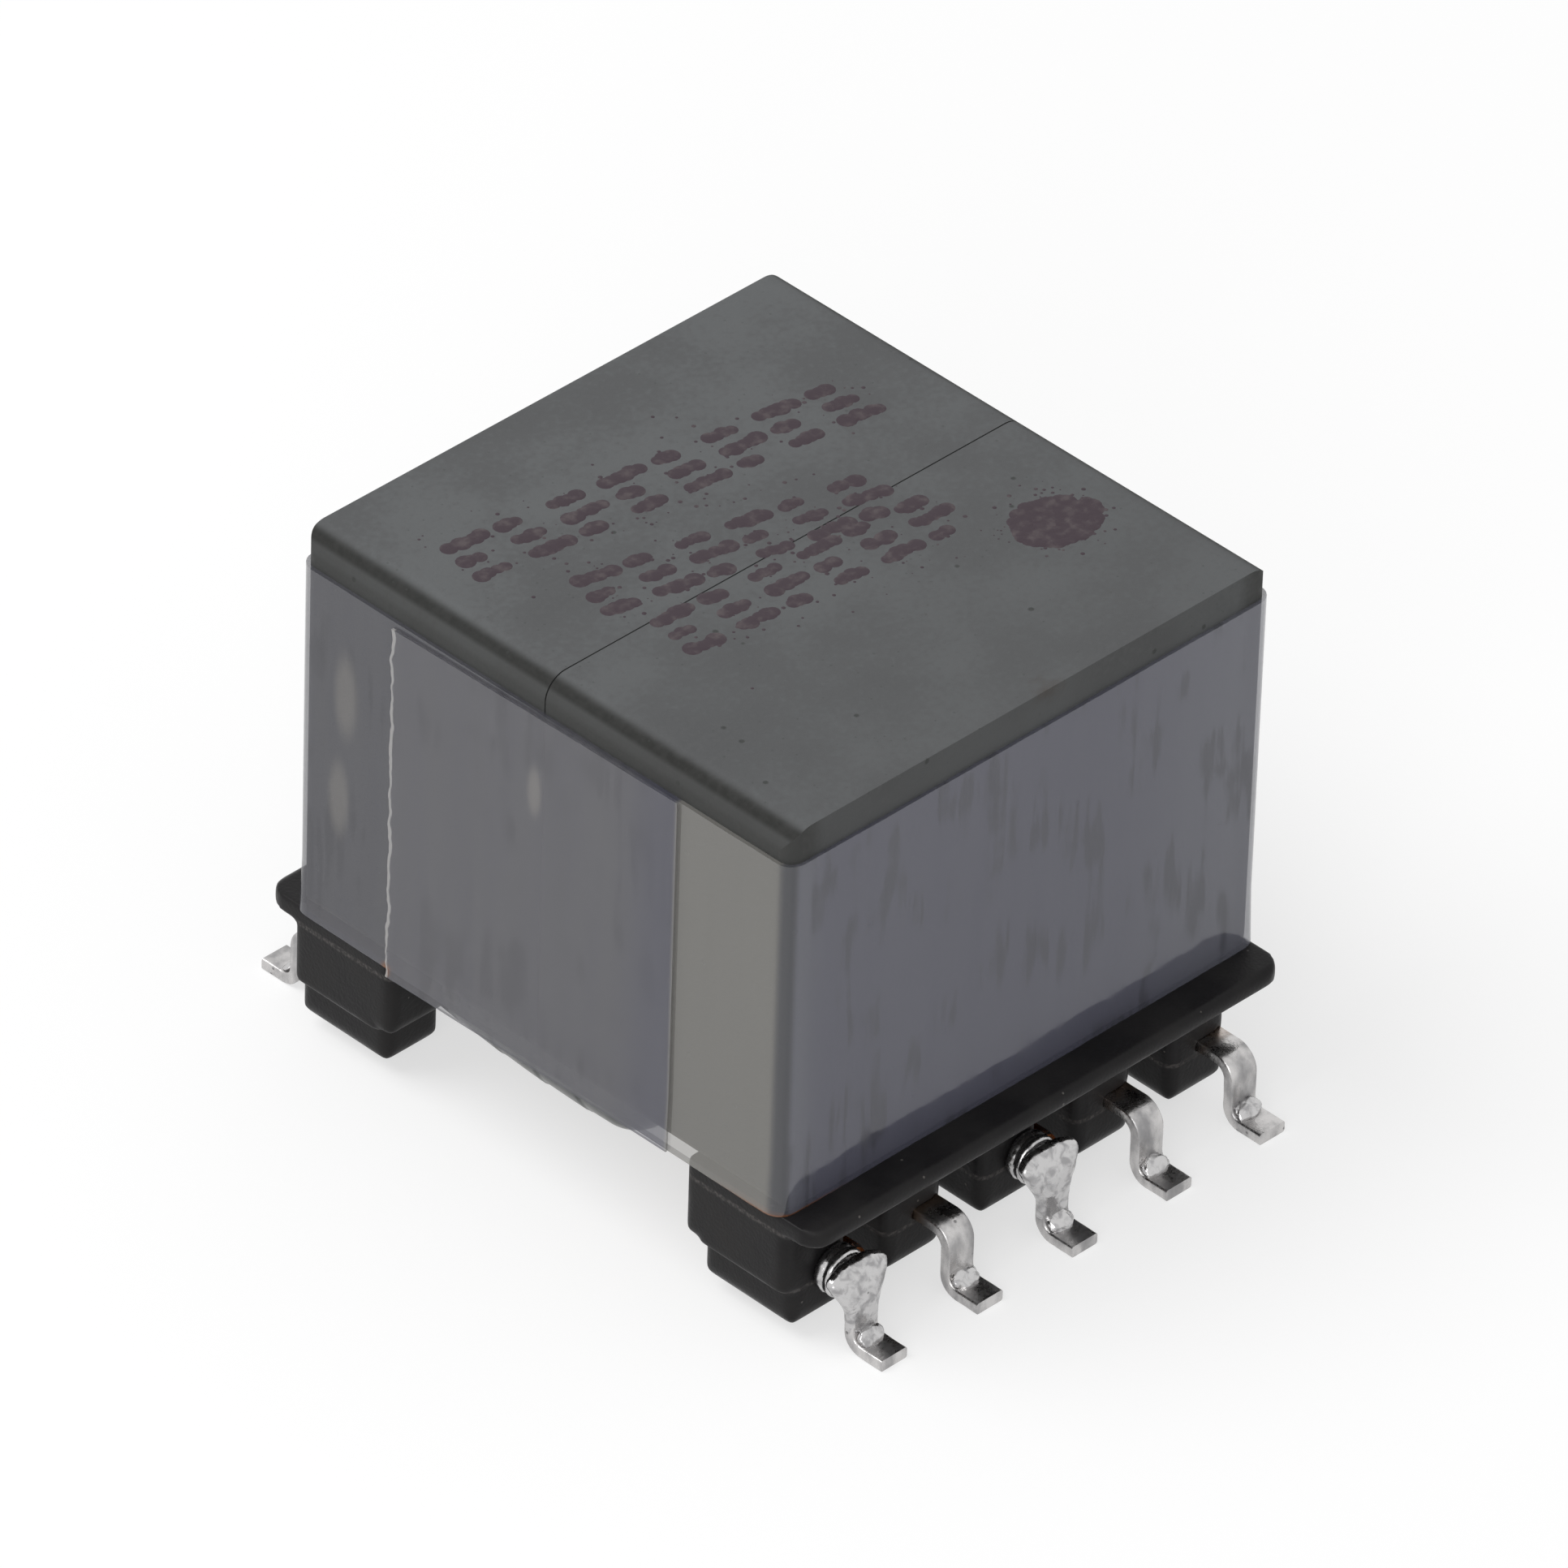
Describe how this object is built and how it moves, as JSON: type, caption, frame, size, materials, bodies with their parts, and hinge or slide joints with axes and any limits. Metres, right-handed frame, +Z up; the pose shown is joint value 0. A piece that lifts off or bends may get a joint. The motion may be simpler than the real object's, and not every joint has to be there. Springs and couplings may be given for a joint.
{
  "type": "pcb transformer",
  "caption": "Surface-mount transformer: taped boxy ferrite core over a black bobbin with slotted terminal rails and rows of gull-wing terminals.",
  "frame": {"origin": "on the board under the middle of the part, at the underside of the solder feet", "axes": "+X along the terminal rows, +Y along the winding axis from the front row to the rear row, +Z up from the board"},
  "size_m": [0.0126, 0.0166, 0.0117],
  "materials": {
    "ferrite": "matte pressed and ground ferrite",
    "bobbin_plastic": "satin moulded thermoset",
    "tinned_strip": "bright tin plate",
    "solder": "bright solder",
    "enamelled_copper": "enamelled copper wire",
    "layer_tape": "yellow polyester tape",
    "coil_wrap_tape": "dark insulating tape",
    "clear_tape": "clear glossy polyester tape"
  },
  "bodies": {
    "root": {"core_front": "ferrite", "core_rear": "ferrite", "bobbin": "bobbin_plastic", "winding_primary_inner": "enamelled_copper", "tape_inner": "layer_tape", "winding_secondary": "enamelled_copper", "tape_middle": "layer_tape", "winding_primary_outer": "enamelled_copper", "coil_wrap": "coil_wrap_tape", "lead_bundle": "coil_wrap_tape", "core_tape": "clear_tape", "core_tape_lap": "clear_tape", "terminal_front_1": "tinned_strip", "terminal_front_2": "tinned_strip", "terminal_front_3": "tinned_strip", "terminal_front_4": "tinned_strip", "terminal_front_5": "tinned_strip", "terminal_rear_1": "tinned_strip", "terminal_rear_2": "tinned_strip", "terminal_rear_3": "tinned_strip", "terminal_rear_4": "tinned_strip", "terminal_rear_5": "tinned_strip", "lead_front_1": "enamelled_copper", "lead_front_3": "enamelled_copper", "lead_rear_2": "enamelled_copper", "lead_rear_4": "enamelled_copper", "turns_front_1": "solder", "turns_front_3": "solder", "turns_rear_2": "solder", "turns_rear_4": "solder", "solder_front_1": "solder", "solder_front_3": "solder", "solder_rear_2": "solder", "solder_rear_4": "solder"}
  },
  "joints": []
}
